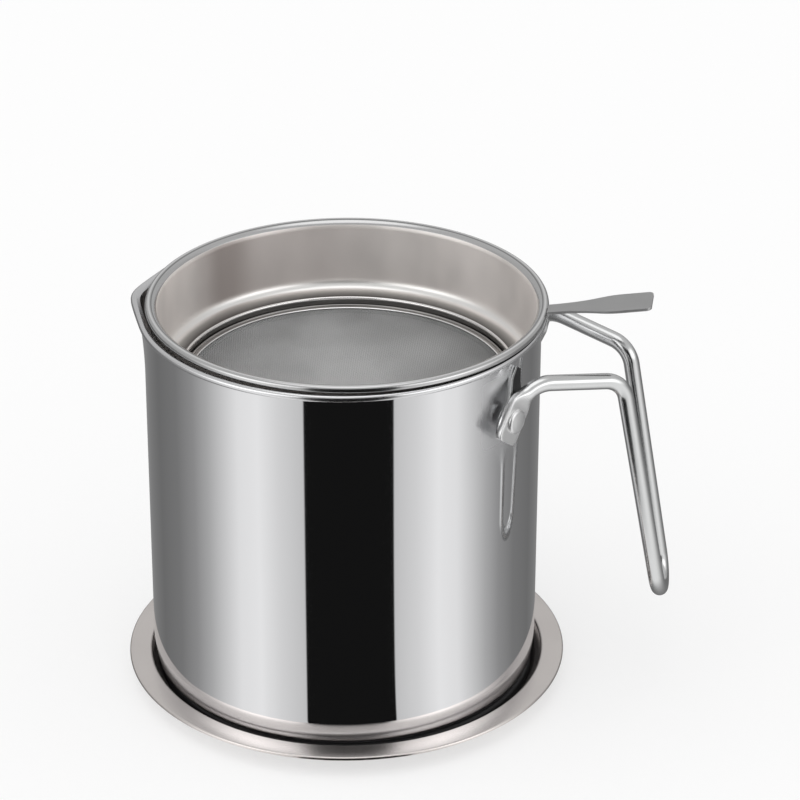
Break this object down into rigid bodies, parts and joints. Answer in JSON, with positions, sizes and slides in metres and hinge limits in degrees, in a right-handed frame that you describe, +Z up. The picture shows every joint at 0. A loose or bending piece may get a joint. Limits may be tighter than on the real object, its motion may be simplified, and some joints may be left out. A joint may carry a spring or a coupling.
{
  "type": "grease container",
  "caption": "Round steel kitchen pot for used cooking fat, with a pouring lip, a riveted rod handle, a lift-out mesh strainer with a tab, and a flanged drip tray with a rubber pad.",
  "frame": {"origin": "middle of the drip tray's flat underside, where the object rests on the table", "axes": "+Z up, +X from the pot towards the handle and the lift tab, the pouring lip points along -X, +Y completes the right-handed frame"},
  "size_m": [0.1921, 0.1554, 0.1496],
  "materials": {
    "polished_steel": "mirror-polished stainless steel",
    "rod_steel": "polished stainless steel",
    "satin_steel": "satin stainless steel",
    "tray_steel": "brushed stainless steel",
    "tab_steel": "matte blasted stainless steel",
    "wire_steel": "fine woven stainless wire",
    "silicone": "matte black silicone"
  },
  "bodies": {
    "base": {"drip_tray": "tray_steel", "anti_slip_pad": "silicone"},
    "pot": {"pot_shell": "polished_steel", "handle_loop": "rod_steel", "ear_front": "polished_steel", "ear_back": "polished_steel", "rivet_front": "rod_steel", "rivet_back": "rod_steel"},
    "strainer": {"strainer_basket": "satin_steel", "strainer_mesh": "wire_steel", "mesh_clamp_ring": "satin_steel", "lift_tab": "tab_steel"}
  },
  "joints": [
    {"name": "pot_lift", "type": "slide", "parent": "base", "child": "pot", "axis": [0, 0, 1], "range_m": [0, 0.06]},
    {"name": "strainer_lift", "type": "slide", "parent": "pot", "child": "strainer", "axis": [0, 0, 1], "range_m": [0, 0.06]}
  ]
}
